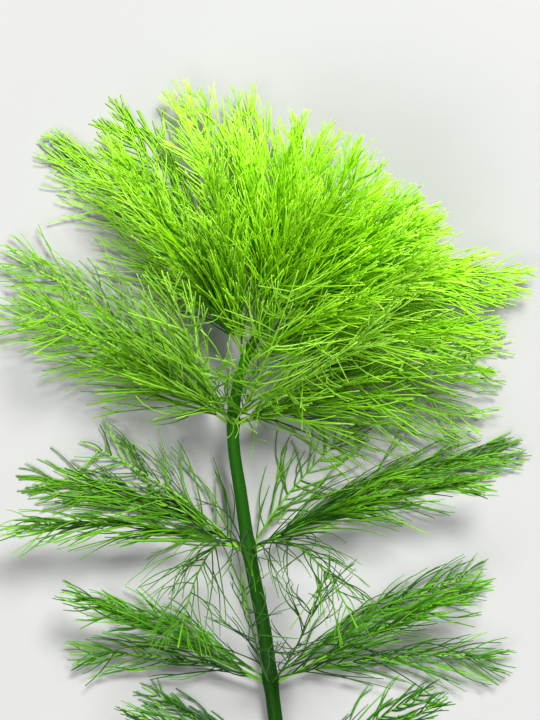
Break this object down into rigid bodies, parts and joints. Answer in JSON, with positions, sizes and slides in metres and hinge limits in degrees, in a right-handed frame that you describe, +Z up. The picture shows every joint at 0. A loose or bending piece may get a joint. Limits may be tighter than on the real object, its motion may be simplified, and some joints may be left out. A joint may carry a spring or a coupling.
{
  "type": "red water milfoil",
  "caption": "Cut stem of a feathery aquarium plant lying on a surface: whorls of fine forked leaves around a bent stem, widely spaced below and crowded in a bright crown",
  "frame": {"origin": "middle of the footprint, on the surface that the plant lies on", "axes": "+Y along the stem from the cut end to the growing tip, +X to the right seen from above, +Z up from the surface"},
  "size_m": [0.0993, 0.1358, 0.0514],
  "materials": {
    "stem": "satin",
    "leaf": "satin",
    "young_leaf": "satin"
  },
  "bodies": {
    "root": {"stem": "stem", "growing_tip": "young_leaf", "whorl_1_leaf_1": "leaf", "whorl_1_leaf_2": "leaf", "whorl_1_leaf_3": "leaf", "whorl_1_leaf_4": "leaf", "whorl_1_leaf_5": "leaf", "whorl_1_leaf_6": "leaf", "whorl_1_leaf_7": "leaf", "whorl_2_leaf_1": "leaf", "whorl_2_leaf_2": "leaf", "whorl_2_leaf_3": "leaf", "whorl_2_leaf_4": "leaf", "whorl_2_leaf_5": "leaf", "whorl_2_leaf_6": "leaf", "whorl_2_leaf_7": "leaf", "whorl_2_leaf_8": "leaf", "whorl_3_leaf_1": "leaf", "whorl_3_leaf_2": "leaf", "whorl_3_leaf_3": "leaf", "whorl_3_leaf_4": "leaf", "whorl_3_leaf_5": "leaf", "whorl_3_leaf_6": "leaf", "whorl_3_leaf_7": "leaf", "whorl_3_leaf_8": "leaf", "whorl_4_leaf_1": "leaf", "whorl_4_leaf_2": "leaf", "whorl_4_leaf_3": "leaf", "whorl_4_leaf_4": "leaf", "whorl_4_leaf_5": "leaf", "whorl_4_leaf_6": "leaf", "whorl_4_leaf_7": "leaf", "whorl_4_leaf_8": "leaf", "whorl_4_leaf_9": "leaf", "whorl_5_leaf_1": "young_leaf", "whorl_5_leaf_2": "young_leaf", "whorl_5_leaf_3": "young_leaf", "whorl_5_leaf_4": "young_leaf", "whorl_5_leaf_5": "young_leaf", "whorl_5_leaf_6": "young_leaf", "whorl_5_leaf_7": "young_leaf", "whorl_5_leaf_8": "young_leaf", "whorl_5_leaf_9": "young_leaf", "whorl_6_leaf_1": "young_leaf", "whorl_6_leaf_2": "young_leaf", "whorl_6_leaf_3": "young_leaf", "whorl_6_leaf_4": "young_leaf", "whorl_6_leaf_5": "young_leaf", "whorl_6_leaf_6": "young_leaf", "whorl_6_leaf_7": "young_leaf", "whorl_6_leaf_8": "young_leaf", "whorl_6_leaf_9": "young_leaf", "whorl_7_leaf_1": "young_leaf", "whorl_7_leaf_2": "young_leaf", "whorl_7_leaf_3": "young_leaf", "whorl_7_leaf_4": "young_leaf", "whorl_7_leaf_5": "young_leaf", "whorl_7_leaf_6": "young_leaf", "whorl_7_leaf_7": "young_leaf"}
  },
  "joints": []
}
